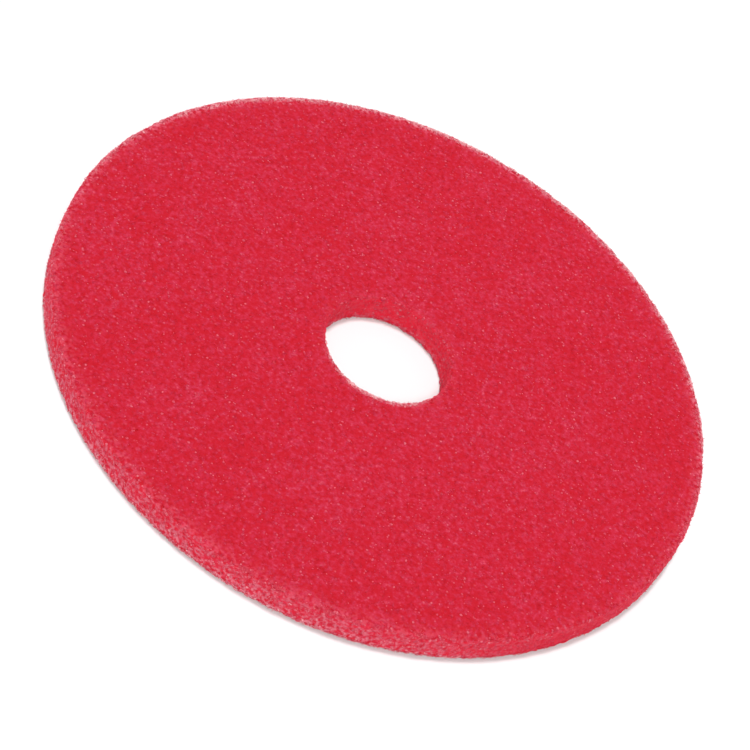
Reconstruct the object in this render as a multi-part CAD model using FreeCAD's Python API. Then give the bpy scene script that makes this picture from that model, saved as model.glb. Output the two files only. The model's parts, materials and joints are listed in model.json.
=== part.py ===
"""Round floor buffing pad: one die-cut disc of springy non-woven web with a centre hole.

Millimetres, +Z up. The cleaning face lies on Z = 0 and the centre hole's axis is the Z axis.
A rotary floor machine's pad driver grips the upper face and centres the pad by its hole.
"""

import FreeCAD, Part
import os

# Driving dimensions
PAD_DIAMETER = 432.0    # a 17 in pad
PAD_THICKNESS = 20.0    # free thickness of the uncompressed web
HOLE_DIAMETER = 82.5    # 3 1/4 in, clears the centring hub of a pad driver
RIM_ROUNDING = 2.0      # how far the outer cut edges have crushed and frayed round
HOLE_ROUNDING = 1.0     # the same at the hole, which wears less

STEP_FOLDER = "parts"
PAD_NODE = "buffing_pad"


def cut_disc():
    """The blank as it is punched from the web, with its centre hole."""
    blank = Part.makeCylinder(PAD_DIAMETER / 2, PAD_THICKNESS)
    hole = Part.makeCylinder(HOLE_DIAMETER / 2, PAD_THICKNESS)
    return blank.cut(hole)


def round_edges_at(solid, radius, rounding):
    """Round the two circular edges of this radius, on the upper and the lower face."""
    circles = []
    for edge in solid.Edges:
        if isinstance(edge.Curve, Part.Circle) and abs(edge.Curve.Radius - radius) < 0.01:
            circles.append(edge)
    return solid.makeFillet(rounding, circles)


def buffing_pad():
    pad = cut_disc()
    pad = round_edges_at(pad, PAD_DIAMETER / 2, RIM_ROUNDING)
    return round_edges_at(pad, HOLE_DIAMETER / 2, HOLE_ROUNDING)


def main():
    os.makedirs(STEP_FOLDER, exist_ok=True)
    buffing_pad().exportStep(os.path.join(STEP_FOLDER, PAD_NODE + ".step"))


main()
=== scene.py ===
"""Looks of a round floor buffing pad: a springy non-woven web of crimped fibres, cut to a ring.

The pad lies flat on a white sheet in soft studio light. Its web is a lumpy body, and on it lie the
loose arcs of fibre that a hand would feel, with droplets of set binder among them.
"""
import itertools
import math

import bpy
import numpy as np
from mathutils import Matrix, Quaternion, Vector, noise
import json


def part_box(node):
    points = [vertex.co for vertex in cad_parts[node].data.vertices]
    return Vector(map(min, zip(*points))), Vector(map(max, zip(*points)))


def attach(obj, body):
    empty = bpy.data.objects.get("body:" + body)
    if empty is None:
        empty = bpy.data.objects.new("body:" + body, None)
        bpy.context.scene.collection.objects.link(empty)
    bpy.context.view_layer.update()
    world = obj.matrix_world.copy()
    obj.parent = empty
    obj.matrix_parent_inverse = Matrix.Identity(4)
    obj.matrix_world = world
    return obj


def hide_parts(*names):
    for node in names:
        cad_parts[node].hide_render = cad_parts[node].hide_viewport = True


MM = 0.001
PAD_NODE = "buffing_pad"
BODY = "root"

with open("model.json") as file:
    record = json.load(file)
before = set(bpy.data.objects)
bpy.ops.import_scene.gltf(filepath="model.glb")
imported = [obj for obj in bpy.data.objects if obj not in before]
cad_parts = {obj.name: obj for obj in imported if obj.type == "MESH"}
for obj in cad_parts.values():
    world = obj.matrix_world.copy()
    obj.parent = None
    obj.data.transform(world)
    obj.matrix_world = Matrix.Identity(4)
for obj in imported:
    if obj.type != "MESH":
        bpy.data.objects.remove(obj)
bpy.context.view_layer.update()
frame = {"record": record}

# The pad's own sizes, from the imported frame
pad_low, pad_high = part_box(PAD_NODE)
hole_mount = next(m for m in frame["record"]["mounts"] if m["name"] == "centre_hole")
RIM_RADIUS = (pad_high.x - pad_low.x) / 2
HOLE_RADIUS = hole_mount["dims"]["r_mm"] * MM
THICKNESS = pad_high.z - pad_low.z
MIDDLE_RADIUS = (RIM_RADIUS + HOLE_RADIUS) / 2
MIDDLE_HEIGHT = pad_low.z + THICKNESS / 2
HALF_WIDTH = (RIM_RADIUS - HOLE_RADIUS) / 2

# The cut edges, which have crushed round: (rim, hole) roundings
SKIN_ROUNDING = (2.6 * MM, 1.6 * MM)
BODY_ROUNDING = (3.2 * MM, 2.1 * MM)      # the matted body's, inside the looser fibres

# Camera
CAMERA_AWAY = 1.725
CAMERA_ELEVATION = math.radians(43.65)
CAMERA_ROLL = math.radians(29.8)
CAMERA_LENS_MM = 133.3
CAMERA_AIM = Vector((0.4 * MM, -15.7 * MM, 0))    # from the middle of the pad

# The web's body
CELL = 1.92 * MM             # size of its triangles
CELL_JITTER = 0.2            # how far their corners are out of step, as a share of that
CORNER_POINTS = 9            # on each rounded corner of its cross-section
BODY_DEPTH = 0.64 * MM       # how far it lies under the pad's skin
LEAST_DEPTH = 0.1 * MM
BODY_LUMPS = ((11 * MM, 0.16 * MM), (4.6 * MM, 0.30 * MM), (2.4 * MM, 0.22 * MM))    # (size, height)

# How pale the cut is, because it shows the ends of the fibres: 0 is the open face, and about 1 is a
# clean cut at its palest. A pair that isn't explained is for (rim, hole)
FACE_PALE = (0.28, 0.16)                # on the face beside the edge
PALE_REACH = 5.5 * MM                   # how far inwards from the rim's edge the face is paler
PALE_FALLOFF = 1.6                      # how suddenly that ends
HOLE_NARROWING = 1.4                    # how many times nearer it ends at the hole
WALL_PALE = 0.64                        # what the rim's wall adds at its foot
WALL_PALE_DROP = 0.50                   # how much less it adds at its top
WALL_PAINTED_LIGHT_SHARE = (0.45, 0.72)            # how far the walls turn to a brighter red: painted light, for the light they get less of than the face, most in the hole
REDDER_STRETCHES = (                          # stretches where the rim's wall is made redder, with less of its paleness: middle, half width, share
    (math.radians(-33), math.radians(24), 1.0),
    (math.radians(-155), math.radians(28), 0.22),
)
REDDER_AT_TOP = 0.60                     # how much of the paleness they lack at the upper edge
REDDER_MORE_BELOW = 0.32                 # and how much more of it lower down
REDDER_FROM = 0.80                       # the height where that begins, in thicknesses of the pad
REDDER_FADE = 0.25                       # and the height that it grows over
TORN_REACH = 2.4 * MM                   # the edges are frayed almost white over this width
TORN_AT = (math.radians(95), math.radians(-85))     # around here
TORN_HALF = (math.radians(75), math.radians(42))
TORN_BELOW = (0.45, 0.20)                           # how torn the lower edges are all the way round
TORN_PALE = (1.15, 1.9)                             # how pale that makes them

# Fibres
FACE_PIECES = 3           # pieces of fibres on each face
FIBRES_IN_A_PIECE = 6000
HOLE_FIBRES = 1100
HOLE_FRAYS = 1000
FIBRE_RINGS = 6           # points along each fibre
FIBRE_LENGTH = (2.6 * MM, 6.0 * MM)
FIBRE_RADIUS = (0.13 * MM, 0.23 * MM)
FIBRE_TIP = 0.5           # radius of its two ends, as a share of its own
FIBRE_BEND = 0.50         # how far it turns one way at each point: the spread, in radians
FIBRE_CRIMP = (0.1, 0.8)  # how far it turns to and fro
CRIMP_PITCH = (0.8, 1.8)  # how soon it turns back
FIBRE_DIVE = 0.8 * MM     # how deep its ends dive back
FIBRE_WAVER = (0.02 * MM, 0.10 * MM)      # how much its height wavers
WAVER_PITCH = 5           # radians of that in half its length
FACE_RISE = (0.02 * MM, 0.28 * MM)        # how high the tops of the arcs are over the body, before that
WALL_RISE = (0.04 * MM, 0.38 * MM)
RIM_FRAY_RISE = (0.10 * MM, 0.70 * MM)
HOLE_FRAY_RISE = (0.10 * MM, 0.75 * MM)

# Ends of fibres that stand out of the cut
RIM_STUBS = (3500, 6500)  # how many on the wall and along its edges
HOLE_STUBS = (700, 900)
STUB_RINGS = 3
STUB_ROOT = 1.1 * MM      # how deep under the skin they start
STUB_REACH = (-0.4 * MM, 0.45 * MM)       # how far over the skin an upright one ends
STUB_LEAN = 0.60          # spread of how far they lean, against 1 straight out
STUB_DROOP = 0.18         # and of how far their tips bend away from that
STUB_TIP = 0.75           # radius of the tip, as a share of the root's

# Droplets of set binder
FACE_DROPLETS = 6500
RIM_DROPLETS = (3000, 2500)               # how many on the wall and along its edges
HOLE_DROPLETS = (700, 500)
DROPLET_RADIUS = (0.42 * MM, 1.10 * MM)
DROPLET_FLATNESS = 0.45
DROPLET_STRETCH = (0.75, 1.25)            # along each of X, Y and Z
DROPLET_UNEVENNESS = 0.12                 # how far its corners are out of place, for a radius of 1
DROPLET_RISE = (0.05 * MM, 0.38 * MM)     # how high its top is over the body

# Where the fibres, stubs and droplets along the edges of the cut fall
EDGE_SPREAD = 1.6 * MM                            # how far from the edge
EDGE_CLUMPS = ((8 * MM, 1.0), (3 * MM, 0.8))      # (size, strength)
EDGE_SCATTER = 0.25                               # how much chance puts them outside the clumps
EDGE_CHOICE = 3                                   # places drawn for each that is kept

# Texture maps for the colours of the loose pieces
BAKE_MAP = "OFBake"       # the map for a piece's colours
STRIPS_ACROSS = 16        # columns of fibres in it
STRIP_INSET = 0.1
DROPLET_INSET = 0.1

TUBE_CORNERS = np.radians((90, 210, 330))         # round a fibre's middle line
TUBE_SIDES = len(TUBE_CORNERS)

# Seeds of the random draws, one for each piece
SEEDS = {
    "web_body": 11,
    "upper_fibres_1": 21, "upper_fibres_2": 22, "upper_fibres_3": 23,
    "lower_fibres_1": 31, "lower_fibres_2": 32, "lower_fibres_3": 33,
    "rim_fibres": 41, "rim_stubs": 42, "rim_frays": 43,
    "hole_fibres": 51, "hole_stubs": 52, "hole_frays": 53,
    "upper_binder": 61, "lower_binder": 62, "wall_binder": 63,
}

# Colours, linear
DEEP_RED = (0.575, 0.011, 0.025)
RED = (0.590, 0.0155, 0.039)
CRIMSON = (0.610, 0.030, 0.073)
# A brighter red that the walls turn to: painted light, for the light that they get less of than the face
WALL_PAINTED_LIGHT_RED = (0.88, 0.028, 0.062)
# The cut ends' plain red, brighter than the web's: painted light against the shade that the clumped ends
# cast on each other
CUT_END_PAINTED_LIGHT_RED = (0.76, 0.027, 0.066)
PALE = (0.71, 0.098, 0.151)
PINK = (0.78, 0.212, 0.270)
PALEST = (0.91, 0.48, 0.51)
WEB_COLOURS = ((0.36, DEEP_RED), (0.50, RED), (0.66, CRIMSON), (0.86, PALE))
CUT_END_COLOURS = ((0.2, CUT_END_PAINTED_LIGHT_RED), (0.5, PALE), (0.75, PINK), (1.0, PALEST))
BINDER_COLOURS = ((0.25, CRIMSON), (0.62, PALE), (0.84, PINK), (1.0, PALEST))

# Noises in the materials: (size, detail)
BLOTCHES = (2.6 * MM, 1.6)          # of the web's reds
PATCHES = (38 * MM, 2.0)            # the same, broad and faint
SPECKLES = (2.5 * MM, 1.5)          # pale marks where the web was cut
GRAIN = (2.0 * MM, 1.0)             # bumps on the body
STREAKS = (1.7 * MM, 2.0)           # paler stretches of a cut end
CLUMPS = (3.6 * MM, 1.5)            # paler clumps of cut ends
CLOUDS = (1.2 * MM, 2.0)            # in the binder
NOISE_ROUGHNESS = 0.6

# Strengths of those, and the ranges of them that show. WHOLE is the range of a shade or a share
WHOLE = (0, 1)
PATCH_STRENGTH = 0.2
SPECKLE_BAND = (0.42, 0.62)
SPECKLE_STRENGTH = 1.7
FIBRE_SHADES = (-0.06, 0.12)        # what a fibre's own shade adds to the blotches
FIBRE_SPECKLES = (0.5, 1.4)         # and how it changes its speckles
FLECK_SIZE = 3.7 * MM               # each fleck has about this much room
FLECK_BAND = (0.06, 0.31)           # its solid middle and its outside, as shares of that
FLECK_CHOICE = (0.3, 0.7)           # from cells with no fleck to those with a full one
FLECK_STRENGTH = (0.42, 0.9)        # on the face and on the palest cut
PALE_BAND = (0, 0.9)                # paleness that turns the reds to PALE
PINK_BAND = (0.7, 1.7)              # and PALE to PINK
STREAK_BAND = (0.35, 0.65)
STREAK_STRENGTH = 0.5
CUT_END_SHADE = 0.5
CLUMP_BAND = (0.42, 0.58)
CLUMP_STRENGTH = (0.1, 1.05)
CUT_END_PALE = 0.45                 # what the paleness of the cut adds to its ends
CUT_END_BAND = (0.1, 0.8)           # paleness of the cut over which its ends turn from plain red
CLOUD_STRENGTH = 0.2
BINDER_SHADE = 0.64
BINDER_PALE = 0.32                  # what the paleness of the cut adds to the binder

# Surfaces
WEB_SPECULAR = 0.10
BODY_ROUGHNESS = (0.72, 0.95)
FIBRE_ROUGHNESS = (0.45, 0.75)
BINDER_ROUGHNESS = (0.40, 0.70)
SCATTER_WEIGHT = 0.6                # light that goes through the matted body
SCATTER_RADIUS = (1.0, 0.25, 0.25)
SCATTER_SCALE = 2.5 * MM
BUMP_STRENGTH = 0.5
BUMP_DISTANCE = 0.8 * MM

# Stage
SHEET_HALF = 14.0                         # half its width
SHEET_COLOUR = (0.885, 0.955, 0.955)      # a touch cool, against the red light that the pad throws on it
SHEET_ROUGHNESS = 0.9
SHEET_SPECULAR = 0.1
SKY = ((0.0, 1.4), (0.15, 1.0), (0.6, 0.28))    # (height, brightness): brightest at the horizon
SKY_STRENGTH = 0.80
SOFTBOXES = (                             # name, strength, width in degrees, direction towards it
    ("front_softbox", 1.42, 20, (0.08, -0.75, 0.90)),
    ("overhead_softbox", 1.61, 9, (-0.09, 0.08, 0.98)),    # at the back left: it gives the short shadow
)


# ---------------------------------------------------------------- the pad's skin

def is_at_rim(points):
    return np.hypot(points[:, 0], points[:, 1]) > MIDDLE_RADIUS


def skin(points, roundings=SKIN_ROUNDING):
    """Signed distance of points from a smooth skin of the pad, and the skin's outward normals."""
    radius = np.hypot(points[:, 0], points[:, 1])
    across = radius - MIDDLE_RADIUS
    up = points[:, 2] - MIDDLE_HEIGHT
    rounding = np.where(across > 0, *roundings)
    past_side = np.abs(across) - HALF_WIDTH + rounding
    past_face = np.abs(up) - THICKNESS / 2 + rounding
    corner = np.hypot(np.maximum(past_side, 0), np.maximum(past_face, 0))
    distance = corner + np.minimum(np.maximum(past_side, past_face), 0) - rounding

    on_wall = past_side > past_face
    share_side = np.where(corner > 0, np.maximum(past_side, 0), on_wall)
    share_face = np.where(corner > 0, np.maximum(past_face, 0), ~on_wall)
    length = np.hypot(share_side, share_face)
    out = share_side / length * np.sign(across)
    radial = points[:, :2] / np.maximum(radius, 1e-9)[:, None]
    normals = np.column_stack([radial * out[:, None], share_face / length * np.sign(up)])
    return distance, normals


def onto_skin(points, roundings=SKIN_ROUNDING):
    distance, normals = skin(points, roundings)
    return points - normals * distance[:, None], normals


def lumps(points, sizes):
    """Sum of smooth noises, each given as (size of a lump, height), at each point."""
    total = np.zeros(len(points))
    for size, height in sizes:
        scaled = points / size
        total += height * np.array([noise.noise(Vector(p)) for p in scaled])
    return total


def body_depths(points):
    """How far the lumpy body lies under the skin at each point."""
    return np.maximum(BODY_DEPTH + lumps(points, BODY_LUMPS), LEAST_DEPTH)


# ---------------------------------------------------------------- where the cut is pale

def stretch(points, middle, half):
    """1 in the middle of a stretch of the ring, fading to 0 past its half width."""
    angle = np.arctan2(points[:, 1], points[:, 0])
    away = (angle - middle + math.pi) % (2 * math.pi) - math.pi
    return np.exp(-(away / half) ** 2)


def tornness(points):
    """How badly the nearest edge of the cut is frayed, from 0 to 1."""
    at_rim = is_at_rim(points)
    torn = stretch(points, np.where(at_rim, *TORN_AT), np.where(at_rim, *TORN_HALF))
    is_lower = points[:, 2] < MIDDLE_HEIGHT
    return np.maximum(torn, is_lower * np.where(at_rim, *TORN_BELOW))


def paleness(points, normals):
    """How pale the web is: 0 on the open face, about 1 on a pale cut, and more where it's torn."""
    radius = np.hypot(points[:, 0], points[:, 1])
    at_rim = is_at_rim(points)
    wall = 1 - np.abs(normals[:, 2])
    height = (points[:, 2] - pad_low.z) / THICKNESS
    inwards = np.where(at_rim, RIM_RADIUS - SKIN_ROUNDING[0] - radius,
                       HOLE_NARROWING * (radius - HOLE_RADIUS - SKIN_ROUNDING[1]))
    beside_edge = np.exp(-(np.maximum(inwards, 0) / PALE_REACH) ** PALE_FALLOFF)
    rim_cut = FACE_PALE[0] + (WALL_PALE - WALL_PALE_DROP * height) * wall
    cut = np.where(at_rim, rim_cut, FACE_PALE[1])
    redder = at_rim * sum(share * stretch(points, middle, half) for middle, half, share in REDDER_STRETCHES)
    redder *= REDDER_AT_TOP + REDDER_MORE_BELOW * np.clip((REDDER_FROM - height) / REDDER_FADE, 0, 1)

    below_face = np.minimum(height, 1 - height) * THICKNESS - SKIN_ROUNDING[0]
    from_edge = np.maximum(np.maximum(inwards, below_face), 0)
    torn = tornness(points) * np.where(at_rim, *TORN_PALE) * np.exp(-(from_edge / TORN_REACH) ** 2)
    return (cut * beside_edge + torn) * (1 - redder)


def set_cut(mesh, points, normals, copies=1):
    """How pale each vertex is, and how far it is on a wall; each point stands for some copies."""
    wall = (1 - np.abs(normals[:, 2])) * np.where(is_at_rim(points), *WALL_PAINTED_LIGHT_SHARE)
    set_attribute(mesh, "pale", np.repeat(paleness(points, normals), copies))
    set_attribute(mesh, "wall", np.repeat(wall, copies))


# ---------------------------------------------------------------- meshes

def piece_from(name, vertices, faces, material):
    mesh = bpy.data.meshes.new(name)
    mesh.from_pydata(vertices.tolist(), [], faces)
    mesh.materials.append(material)
    piece = bpy.data.objects.new(name, mesh)
    bpy.context.scene.collection.objects.link(piece)
    return piece


def set_attribute(mesh, name, values):
    attribute = mesh.attributes.new(name, "FLOAT", "POINT")
    attribute.data.foreach_set("value", values.astype(np.float32))


def set_bake_map(mesh, corner_uvs):
    layer = mesh.uv_layers.new(name=BAKE_MAP)
    layer.data.foreach_set("uv", corner_uvs.astype(np.float32).ravel())


def unit(vectors):
    return vectors / np.linalg.norm(vectors, axis=-1, keepdims=True)


def at_angles(radius, angle, height):
    """Points at these radii, angles and heights round the pad's axis."""
    height = np.broadcast_to(height, angle.shape)
    return np.column_stack([radius * np.cos(angle), radius * np.sin(angle), height])


# ---------------------------------------------------------------- the web's body

def profile():
    """(radius, height) of evenly spaced points once round the pad's cross-section."""
    rim, hole = BODY_ROUNDING
    corners = [
        (RIM_RADIUS - rim, pad_low.z + rim, rim, -90),
        (RIM_RADIUS - rim, pad_high.z - rim, rim, 0),
        (HOLE_RADIUS + hole, pad_high.z - hole, hole, 90),
        (HOLE_RADIUS + hole, pad_low.z + hole, hole, 180),
    ]
    outline = []
    for radius, height, rounding, start in corners:
        for turn in np.radians(np.linspace(start, start + 90, CORNER_POINTS)):
            outline.append((radius + rounding * math.cos(turn), height + rounding * math.sin(turn)))
    outline = np.array(outline + outline[:1])
    along = np.concatenate([[0], np.cumsum(np.linalg.norm(np.diff(outline, axis=0), axis=1))])
    count = round(along[-1] / (CELL * math.sqrt(3) / 2))
    at = np.arange(count) / count * along[-1]
    return np.column_stack([np.interp(at, along, outline[:, 0]), np.interp(at, along, outline[:, 1])])


def zip_rings(first, turns_a, second, turns_b):
    """Triangles between two rings of points, given their first indices and their turns from 0 to 1."""
    count_a, count_b = len(turns_a), len(turns_b)
    ends_a = np.append(turns_a[1:], turns_a[0] + 1)
    ends_b = np.append(turns_b[1:], turns_b[0] + 1)
    step_a, step_b = np.arange(count_a), np.arange(count_b)
    apex_b = np.searchsorted(np.append(turns_b, turns_b + 1), ends_a, side="right") - 1
    apex_a = np.searchsorted(np.append(turns_a, turns_a + 1), ends_b, side="left") - 1
    from_a = np.column_stack([first + step_a, first + (step_a + 1) % count_a,
                              second + apex_b % count_b])
    from_b = np.column_stack([second + (step_b + 1) % count_b, second + step_b,
                              first + apex_a % count_a])
    return np.concatenate([from_a, from_b])


def ring_mesh(rng):
    """The pad's skin as even triangles: rings of points round its cross-section, zipped together."""
    rings, starts, points = [], [], []
    for number, (radius, height) in enumerate(profile()):
        count = round(2 * math.pi * radius / CELL)
        jitter = rng.uniform(-CELL_JITTER, CELL_JITTER, count)
        turns = np.sort((np.arange(count) + (number % 2) / 2 + jitter) / count % 1)
        starts.append(sum(len(r) for r in rings))
        rings.append(turns)
        points.append(at_angles(radius, turns * 2 * math.pi, height))
    triangles = []
    for a in range(len(rings)):
        b = (a + 1) % len(rings)
        triangles.append(zip_rings(starts[a], rings[a], starts[b], rings[b]))
    return np.concatenate(points), np.concatenate(triangles)


def web_body(material):
    rng = np.random.default_rng(SEEDS["web_body"])
    points, triangles = ring_mesh(rng)
    points, normals = onto_skin(points, BODY_ROUNDING)
    inner = points - normals * body_depths(points)[:, None]
    body = piece_from("web_body", inner, triangles.tolist(), material)
    body.data.shade_smooth()
    set_cut(body.data, points, normals)
    return body


# ---------------------------------------------------------------- seeds

def seeds_on_face(rng, count, height):
    radius = np.sqrt(rng.uniform(HOLE_RADIUS ** 2, RIM_RADIUS ** 2, count))
    angle = rng.uniform(0, 2 * math.pi, count)
    return at_angles(radius, angle, height)


def seeds_on_wall(rng, count, radius):
    angle = rng.uniform(0, 2 * math.pi, count)
    height = rng.uniform(pad_low.z, pad_high.z, count)
    return at_angles(radius, angle, height)


def seeds_on_edges(rng, count, radius):
    """Points in clumps along the two edges of the cut with this radius, most where it's torn."""
    drawn = count * EDGE_CHOICE
    angle = rng.uniform(0, 2 * math.pi, drawn)
    inwards = np.abs(rng.normal(0, EDGE_SPREAD, drawn)) * math.copysign(1, radius - MIDDLE_RADIUS)
    height = np.where(rng.uniform(size=drawn) < 0.5, pad_low.z, pad_high.z)
    points = at_angles(radius - inwards, angle, height)
    clumped = lumps(points, EDGE_CLUMPS) + rng.normal(0, EDGE_SCATTER, drawn)
    clumped += tornness(points)
    return points[np.sort(np.argsort(-clumped)[:count])]


def seeds_on_cut(rng, counts, radius):
    """Points all over a wall of the cut, then along its edges: this many of each."""
    return np.concatenate([seeds_on_wall(rng, counts[0], radius), seeds_on_edges(rng, counts[1], radius)])


# ---------------------------------------------------------------- fibres

def crimped_paths(rng, seeds):
    """Wandering paths over the skin from each seed, as (fibre, ring, xyz), and the normals there."""
    count = len(seeds)
    points, normals = onto_skin(seeds)
    heading = unit(np.cross(normals, unit(rng.normal(size=(count, 3)))))
    step = rng.uniform(*FIBRE_LENGTH, count) / (FIBRE_RINGS - 1)
    bend = rng.normal(0, FIBRE_BEND, count)
    crimp = rng.uniform(*FIBRE_CRIMP, count)
    phase = rng.uniform(0, 2 * math.pi, count)
    pitch = rng.uniform(*CRIMP_PITCH, count)
    path, path_normals = [points], [normals]
    for ring in range(1, FIBRE_RINGS):
        turn = bend + crimp * np.sin(phase + pitch * ring)
        sideways = np.cross(normals, heading)
        heading = heading * np.cos(turn)[:, None] + sideways * np.sin(turn)[:, None]
        points, normals = onto_skin(points + heading * step[:, None])
        heading = unit(heading - normals * (heading * normals).sum(1)[:, None])
        path.append(points)
        path_normals.append(normals)
    return np.stack(path, 1), np.stack(path_normals, 1)


def fibre_heights(rng, count, rise):
    """Height over the web's body along each fibre: an arc that rises from it and dives back."""
    along = np.linspace(-1, 1, FIBRE_RINGS)
    top = rng.uniform(*rise, count)[:, None]
    waver = rng.uniform(*FIBRE_WAVER, count)[:, None]
    phase = rng.uniform(0, 2 * math.pi, count)[:, None]
    dive = FIBRE_DIVE * np.abs(along) ** 3
    return top - dive - waver * (1 + np.sin(phase + WAVER_PITCH * along))


def tubes(centres, normals, radii):
    """Closed three-sided tubes along rows of points, none under the floor: vertices, sides and caps."""
    count, rings, _ = centres.shape
    centres = centres.copy()
    centres[..., 2] = np.maximum(centres[..., 2], pad_low.z + radii)
    tangents = unit(np.gradient(centres, axis=1))
    side = unit(np.cross(tangents, normals))
    up = np.cross(side, tangents)
    corners = []
    for turn in TUBE_CORNERS:
        corners.append(centres + (side * math.cos(turn) + up * math.sin(turn)) * radii[..., None])
    vertices = np.stack(corners, 2).reshape(-1, 3)

    base = (np.arange(count) * rings * TUBE_SIDES)[:, None, None]
    ring = base + (np.arange(rings - 1) * TUBE_SIDES)[None, :, None]
    next_ring = ring + TUBE_SIDES
    here = np.arange(TUBE_SIDES)[None, None, :]
    there = (here + 1) % TUBE_SIDES
    quads = np.stack([next_ring + here, next_ring + there, ring + there, ring + here], -1)
    first = base[:, :, 0] + np.arange(TUBE_SIDES)
    last = first[:, ::-1] + (rings - 1) * TUBE_SIDES
    return vertices, quads.reshape(-1, 4), np.concatenate([first, last])


def strip_uvs(count, rings):
    """Corners of the map for the tubes: each tube is one strip, which its three sides share."""
    rows = math.ceil(count / STRIPS_ACROSS)
    tube = np.arange(count)
    left = (tube % STRIPS_ACROSS) / STRIPS_ACROSS
    bottom = (tube // STRIPS_ACROSS) / rows
    low_v = bottom + STRIP_INSET / rows
    high_v = bottom + (1 - STRIP_INSET) / rows
    share = STRIP_INSET / 2 + (1 - STRIP_INSET) * np.arange(rings) / (rings - 1)
    u = left[:, None] + share[None, :] / STRIPS_ACROSS
    low_v, high_v = low_v[:, None, None], high_v[:, None, None]
    u_here, u_next = u[:, :-1, None], u[:, 1:, None]
    shape = (count, rings - 1, TUBE_SIDES)
    corner = [(u_next, low_v), (u_next, high_v), (u_here, high_v), (u_here, low_v)]
    quads = np.stack([np.stack([np.broadcast_to(a, shape), np.broadcast_to(b, shape)], -1)
                      for a, b in corner], 3).reshape(-1, 2)
    caps = []
    for at in (u[:, 0], u[:, -1]):
        corners = [np.column_stack([at, v[:, 0, 0]]) for v in (low_v, high_v, low_v)]
        caps.append(np.stack(corners, 1).reshape(-1, 2))
    return np.concatenate([quads, *caps])


def tube_piece(name, rng, centres, normals, radii, material):
    """One piece of many tubes, each with a shade of its own."""
    count, rings, _ = centres.shape
    vertices, quads, caps = tubes(centres, normals, radii)
    piece = piece_from(name, vertices, quads.tolist() + caps.tolist(), material)
    set_bake_map(piece.data, strip_uvs(count, rings))
    set_attribute(piece.data, "shade", np.repeat(rng.uniform(0, 1, count), rings * TUBE_SIDES))
    return piece


def fibre_piece(name, seeder, place, count, material, rise):
    """Crimped arcs of fibre that follow the body's lumps and dive back into them."""
    rng = np.random.default_rng(SEEDS[name])
    path, normals = crimped_paths(rng, seeder(rng, count, place))
    depths = body_depths(path.reshape(-1, 3)).reshape(count, FIBRE_RINGS)
    centres = path - normals * (depths - fibre_heights(rng, count, rise))[..., None]
    radii = rng.uniform(*FIBRE_RADIUS, count)[:, None] * np.ones(FIBRE_RINGS)
    radii[:, [0, -1]] *= FIBRE_TIP
    piece = tube_piece(name, rng, centres, normals, radii, material)
    set_cut(piece.data, path.reshape(-1, 3), normals.reshape(-1, 3), TUBE_SIDES)
    return piece


def stub_piece(name, counts, radius, material):
    """Cut ends of fibres, which lean out of the web by up to about a millimetre."""
    rng = np.random.default_rng(SEEDS[name])
    points, normals = onto_skin(seeds_on_cut(rng, counts, radius))
    count = len(points)
    lean = unit(normals + rng.normal(0, STUB_LEAN, (count, 3)))
    droop = rng.normal(0, STUB_DROOP, (count, 3))
    length = rng.uniform(*STUB_REACH, count) + STUB_ROOT
    centres = []
    for along in np.linspace(0, 1, STUB_RINGS):
        reach = (length * along)[:, None]
        centres.append(points - normals * STUB_ROOT + (lean + droop * along ** 2) * reach)
    radii = rng.uniform(*FIBRE_RADIUS, count)[:, None] * np.linspace(1, STUB_TIP, STUB_RINGS)
    beside = unit(np.cross(lean, unit(rng.normal(size=(count, 3)))))
    beside = np.repeat(beside[:, None], STUB_RINGS, axis=1)
    piece = tube_piece(name, rng, np.stack(centres, 1), beside, radii, material)
    set_cut(piece.data, points, normals, STUB_RINGS * TUBE_SIDES)
    return piece


def all_fibres(material, cut_material):
    many = FIBRES_IN_A_PIECE
    plan = []
    for number in range(1, FACE_PIECES + 1):
        plan.append((f"upper_fibres_{number}", seeds_on_face, pad_high.z, many, material, FACE_RISE))
        plan.append((f"lower_fibres_{number}", seeds_on_face, pad_low.z, many, material, FACE_RISE))
    plan += [
        ("rim_fibres", seeds_on_wall, RIM_RADIUS, many, material, WALL_RISE),
        ("hole_fibres", seeds_on_wall, HOLE_RADIUS, HOLE_FIBRES, material, WALL_RISE),
        ("rim_frays", seeds_on_edges, RIM_RADIUS, many, cut_material, RIM_FRAY_RISE),
        ("hole_frays", seeds_on_edges, HOLE_RADIUS, HOLE_FRAYS, cut_material, HOLE_FRAY_RISE),
    ]
    stubs = (("rim_stubs", RIM_STUBS, RIM_RADIUS), ("hole_stubs", HOLE_STUBS, HOLE_RADIUS))
    return [fibre_piece(*row) for row in plan] + [stub_piece(*row, cut_material) for row in stubs]


# ---------------------------------------------------------------- droplets of binder

def icosahedron():
    """Corners and faces of a regular icosahedron of radius 1."""
    golden = (1 + math.sqrt(5)) / 2
    corners = []
    for a in (-1, 1):
        for b in (-golden, golden):
            corners += [(0, a, b), (a, b, 0), (b, 0, a)]
    corners = unit(np.array(corners, float))
    longest_edge = min(np.linalg.norm(corners[0] - c) for c in corners[1:]) * 1.01
    faces = []
    for i, j, k in itertools.combinations(range(len(corners)), 3):
        a, b, c = corners[[i, j, k]]
        if max(np.linalg.norm(a - b), np.linalg.norm(b - c), np.linalg.norm(c - a)) < longest_edge:
            outward = np.cross(b - a, c - a) @ a > 0
            faces.append((i, j, k) if outward else (i, k, j))
    return corners, np.array(faces)


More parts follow.
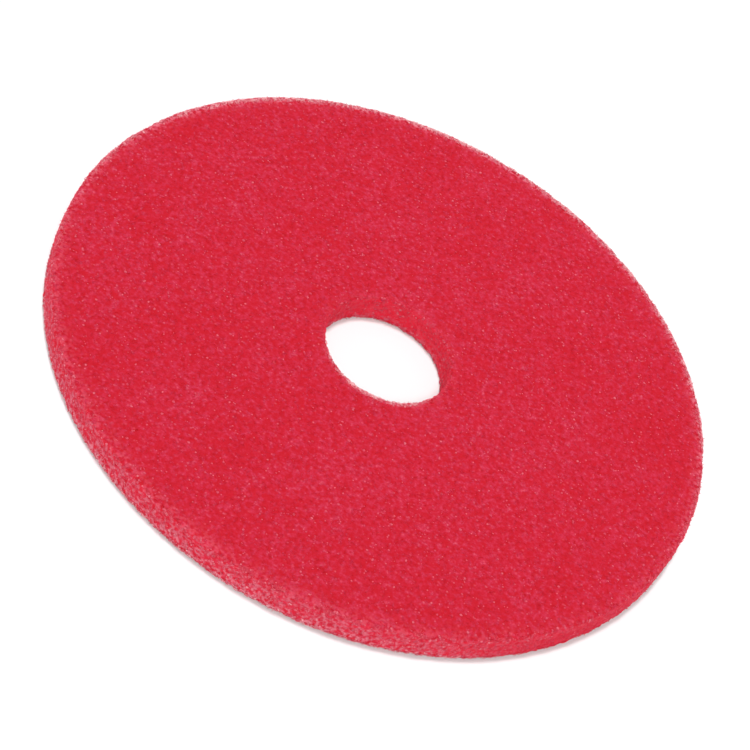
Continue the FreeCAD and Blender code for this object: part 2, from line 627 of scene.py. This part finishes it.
def droplets(name, seeds_at, material):
    """Small flattened beads of set binder, scattered over the skin, none under the floor."""
    rng = np.random.default_rng(SEEDS[name])
    points, normals = onto_skin(np.concatenate([seeder(rng, *where) for seeder, *where in seeds_at]))
    count = len(points)
    corners, faces = icosahedron()
    smallest, largest = DROPLET_RADIUS
    radii = smallest + (largest - smallest) * rng.uniform(0, 1, count) ** 2
    depths = body_depths(points) - rng.uniform(*DROPLET_RISE, count) + radii * DROPLET_FLATNESS
    beads = unit(corners[None] + rng.normal(0, DROPLET_UNEVENNESS, (count, len(corners), 3)))
    beads = beads * rng.uniform(*DROPLET_STRETCH, (count, 1, 3))
    outwards = (beads * normals[:, None]).sum(2, keepdims=True) * normals[:, None]
    beads = beads - (1 - DROPLET_FLATNESS) * outwards
    vertices = (points - normals * depths[:, None])[:, None] + beads * radii[:, None, None]
    vertices[..., 2] = np.maximum(vertices[..., 2], pad_low.z)
    all_faces = (faces[None] + len(corners) * np.arange(count)[:, None, None]).reshape(-1, 3)
    piece = piece_from(name, vertices.reshape(-1, 3), all_faces.tolist(), material)
    piece.data.shade_smooth()

    across = math.ceil(math.sqrt(count))
    cell = np.column_stack([np.arange(count) % across, np.arange(count) // across]) / across
    flat = 0.5 + (0.5 - DROPLET_INSET) * corners[faces.ravel()][:, :2]
    set_bake_map(piece.data, (cell[:, None] + flat[None] / across).reshape(-1, 2))
    set_cut(piece.data, points, normals, len(corners))
    set_attribute(piece.data, "shade", np.repeat(rng.uniform(0, 1, count), len(corners)))
    return piece


def all_droplets(material):
    upper = droplets("upper_binder", [(seeds_on_face, FACE_DROPLETS, pad_high.z)], material)
    lower = droplets("lower_binder", [(seeds_on_face, FACE_DROPLETS, pad_low.z)], material)
    walls = droplets("wall_binder", [(seeds_on_cut, RIM_DROPLETS, RIM_RADIUS),
                                     (seeds_on_cut, HOLE_DROPLETS, HOLE_RADIUS)], material)
    return [upper, lower, walls]


# ---------------------------------------------------------------- nodes

def connect(tree, socket, value):
    """Link another node's socket to this one, or set this one's own value."""
    if isinstance(value, bpy.types.NodeSocket):
        tree.links.new(value, socket)
    else:
        socket.default_value = value


def node(tree, kind, inputs=None, **settings):
    made = tree.nodes.new(kind)
    for name, value in settings.items():
        setattr(made, name, value)
    for name, value in (inputs or {}).items():
        connect(tree, made.inputs[name], value)
    return made


def ramp(tree, factor, stops):
    made = node(tree, "ShaderNodeValToRGB", {"Fac": factor})
    elements = made.color_ramp.elements
    for number, (place, colour) in enumerate(stops):
        element = elements[number] if number < 2 else elements.new(place)
        element.position = place
        element.color = (*colour, 1)
    return made.outputs["Color"]


def noise_of(tree, where, size, detail):
    made = node(tree, "ShaderNodeTexNoise", {"Vector": where, "Scale": 1 / size, "Detail": detail,
                                             "Roughness": NOISE_ROUGHNESS})
    return made.outputs["Fac"]


def mix(tree, factor, a, b):
    """The colour that is a where the factor is 0 and b where it is 1."""
    made = node(tree, "ShaderNodeMix", {"Factor": factor}, data_type="RGBA")
    colours = [s for s in made.inputs if s.type == "RGBA"]
    for socket, value in zip(colours, (a, b)):
        connect(tree, socket, value if isinstance(value, bpy.types.NodeSocket) else (*value, 1))
    return next(s for s in made.outputs if s.type == "RGBA")


def maths(tree, operation, a, b):
    made = node(tree, "ShaderNodeMath", operation=operation)
    connect(tree, made.inputs[0], a)
    connect(tree, made.inputs[1], b)
    return made.outputs[0]


def plus(tree, a, b):
    return maths(tree, "ADD", a, b)


def times(tree, a, b):
    return maths(tree, "MULTIPLY", a, b)


def attribute(tree, name):
    return node(tree, "ShaderNodeAttribute", attribute_name=name).outputs["Fac"]


def spread(tree, value, given, wanted):
    """The value moved from one (low, high) range to another, and kept inside it."""
    made = node(tree, "ShaderNodeMapRange", {"Value": value, "From Min": given[0], "From Max": given[1],
                                             "To Min": wanted[0], "To Max": wanted[1]})
    return made.outputs["Result"]


# ---------------------------------------------------------------- materials

def new_material(name):
    material = bpy.data.materials.new(name)
    material.use_nodes = True
    tree = material.node_tree
    shader = tree.nodes["Principled BSDF"]
    shader.inputs["Specular IOR Level"].default_value = WEB_SPECULAR
    where = node(tree, "ShaderNodeTexCoord").outputs["Object"]
    return material, tree, shader, where


def flecks(tree, where):
    """Soft spots, some strong, some faint, and no more than one in each cell."""
    cells = node(tree, "ShaderNodeTexVoronoi", {"Vector": where, "Scale": 1 / FLECK_SIZE})
    spot = spread(tree, cells.outputs["Distance"], FLECK_BAND, (1, 0))
    return times(tree, spot, spread(tree, cells.outputs["Color"], FLECK_CHOICE, WHOLE))


def web_colour(tree, where, own=None):
    """Reds in small blotches, speckled where the web was cut. Each fibre also has its own shade."""
    blotch = noise_of(tree, where, *BLOTCHES)
    patch = maths(tree, "SUBTRACT", noise_of(tree, where, *PATCHES), 0.5)
    shade = plus(tree, blotch, times(tree, patch, PATCH_STRENGTH))
    speckle = spread(tree, noise_of(tree, where, *SPECKLES), SPECKLE_BAND, (0, SPECKLE_STRENGTH))
    if own is not None:
        shade = plus(tree, shade, spread(tree, own, WHOLE, FIBRE_SHADES))
        speckle = times(tree, speckle, spread(tree, own, WHOLE, FIBRE_SPECKLES))
    # The walls turn to a brighter red: painted light, for the light that they get less of than the face
    reds = mix(tree, attribute(tree, "wall"), ramp(tree, shade, WEB_COLOURS), WALL_PAINTED_LIGHT_RED)
    cut = attribute(tree, "pale")
    fleck = times(tree, flecks(tree, where), spread(tree, cut, WHOLE, FLECK_STRENGTH))
    pale = plus(tree, times(tree, cut, speckle), fleck)
    colour = mix(tree, spread(tree, pale, PALE_BAND, WHOLE), reds, PALE)
    return mix(tree, spread(tree, pale, PINK_BAND, WHOLE), colour, PINK), blotch


def body_material():
    """The matted web under the loose fibres."""
    material, tree, shader, where = new_material("web_mat")
    shader.inputs["Subsurface Weight"].default_value = SCATTER_WEIGHT
    shader.inputs["Subsurface Radius"].default_value = SCATTER_RADIUS
    shader.inputs["Subsurface Scale"].default_value = SCATTER_SCALE
    colour, blotch = web_colour(tree, where)
    tree.links.new(colour, shader.inputs["Base Color"])
    tree.links.new(spread(tree, blotch, WHOLE, BODY_ROUGHNESS), shader.inputs["Roughness"])
    bump = node(tree, "ShaderNodeBump", {"Height": noise_of(tree, where, *GRAIN),
                                         "Strength": BUMP_STRENGTH, "Distance": BUMP_DISTANCE})
    tree.links.new(bump.outputs["Normal"], shader.inputs["Normal"])
    return material


def fibre_material():
    """Dyed fibre in a thin coat of binder: each fibre has its own red, and it varies along it."""
    material, tree, shader, where = new_material("web_fibre")
    colour, blotch = web_colour(tree, where, attribute(tree, "shade"))
    tree.links.new(colour, shader.inputs["Base Color"])
    tree.links.new(spread(tree, blotch, WHOLE, FIBRE_ROUGHNESS), shader.inputs["Roughness"])
    return material


def cut_end_material():
    """Fibres that the cut has frayed, where the binder has cracked away: red, pink or almost white."""
    material, tree, shader, where = new_material("web_cut_end")
    streak = noise_of(tree, where, *STREAKS)
    pale = attribute(tree, "pale")
    whiter = plus(tree, spread(tree, attribute(tree, "shade"), WHOLE, (0, CUT_END_SHADE)),
                  spread(tree, streak, STREAK_BAND, (0, STREAK_STRENGTH)))
    clump = spread(tree, noise_of(tree, where, *CLUMPS), CLUMP_BAND, CLUMP_STRENGTH)
    whiter = plus(tree, whiter, times(tree, times(tree, pale, clump), CUT_END_PALE))
    ends = ramp(tree, whiter, CUT_END_COLOURS)
    # Where the cut is not pale its ends keep a brighter red: painted light against the shade within their
    # clumps
    colour = mix(tree, spread(tree, pale, CUT_END_BAND, WHOLE), CUT_END_PAINTED_LIGHT_RED, ends)
    tree.links.new(colour, shader.inputs["Base Color"])
    tree.links.new(spread(tree, streak, WHOLE, FIBRE_ROUGHNESS), shader.inputs["Roughness"])
    return material


def binder_material():
    """Set binder: a clear coat over the dye, so a few droplets look almost white and most look pink."""
    material, tree, shader, where = new_material("web_binder")
    cloud = noise_of(tree, where, *CLOUDS)
    shade = plus(tree, attribute(tree, "shade"), times(tree, cloud, CLOUD_STRENGTH))
    shade = plus(tree, times(tree, shade, BINDER_SHADE), times(tree, attribute(tree, "pale"), BINDER_PALE))
    tree.links.new(ramp(tree, shade, BINDER_COLOURS), shader.inputs["Base Color"])
    tree.links.new(spread(tree, cloud, WHOLE, BINDER_ROUGHNESS), shader.inputs["Roughness"])
    return material


# ---------------------------------------------------------------- stage

def add_camera():
    data = bpy.data.cameras.new("camera")
    data.lens = CAMERA_LENS_MM
    camera = bpy.data.objects.new("camera", data)
    bpy.context.scene.collection.objects.link(camera)
    middle = Vector((0, 0, MIDDLE_HEIGHT))
    out = Vector((0, -math.cos(CAMERA_ELEVATION), math.sin(CAMERA_ELEVATION)))
    camera.location = middle + out * CAMERA_AWAY
    straight = (middle + CAMERA_AIM - camera.location).to_track_quat("-Z", "Y")
    camera.rotation_mode = "QUATERNION"
    camera.rotation_quaternion = straight @ Quaternion((0, 0, 1), CAMERA_ROLL)
    bpy.context.scene.camera = camera


def add_floor():
    half = SHEET_HALF
    mesh = bpy.data.meshes.new("floor")
    mesh.from_pydata([(-half, -half, 0), (half, -half, 0), (half, half, 0), (-half, half, 0)], [],
                     [(0, 1, 2, 3)])
    floor = bpy.data.objects.new("floor", mesh)
    bpy.context.scene.collection.objects.link(floor)
    material = bpy.data.materials.new("white_sheet")
    material.use_nodes = True
    shader = material.node_tree.nodes["Principled BSDF"]
    shader.inputs["Base Color"].default_value = (*SHEET_COLOUR, 1)
    shader.inputs["Roughness"].default_value = SHEET_ROUGHNESS
    shader.inputs["Specular IOR Level"].default_value = SHEET_SPECULAR
    mesh.materials.append(material)


def add_sky():
    world = bpy.data.worlds.new("studio")
    world.use_nodes = True
    tree = world.node_tree
    background = tree.nodes["Background"]
    direction = node(tree, "ShaderNodeTexCoord").outputs["Generated"]
    up = node(tree, "ShaderNodeSeparateXYZ", {"Vector": direction}).outputs["Z"]
    greys = [(height, (brightness, brightness, brightness)) for height, brightness in SKY]
    tree.links.new(ramp(tree, up, greys), background.inputs["Color"])
    background.inputs["Strength"].default_value = SKY_STRENGTH
    bpy.context.scene.world = world


def add_softboxes():
    for name, strength, width, towards in SOFTBOXES:
        data = bpy.data.lights.new(name, "SUN")
        data.energy = strength
        data.angle = math.radians(width)
        softbox = bpy.data.objects.new(name, data)
        softbox.rotation_mode = "QUATERNION"
        softbox.rotation_quaternion = Vector(towards).to_track_quat("Z", "Y")
        bpy.context.scene.collection.objects.link(softbox)


# ---------------------------------------------------------------- the scene

add_camera()
add_floor()
add_sky()
add_softboxes()
bpy.context.scene.view_settings.view_transform = "Standard"

web = web_body(body_material())
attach(web, BODY)
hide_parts(PAD_NODE)
for piece in all_fibres(fibre_material(), cut_end_material()) + all_droplets(binder_material()):
    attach(piece, BODY)
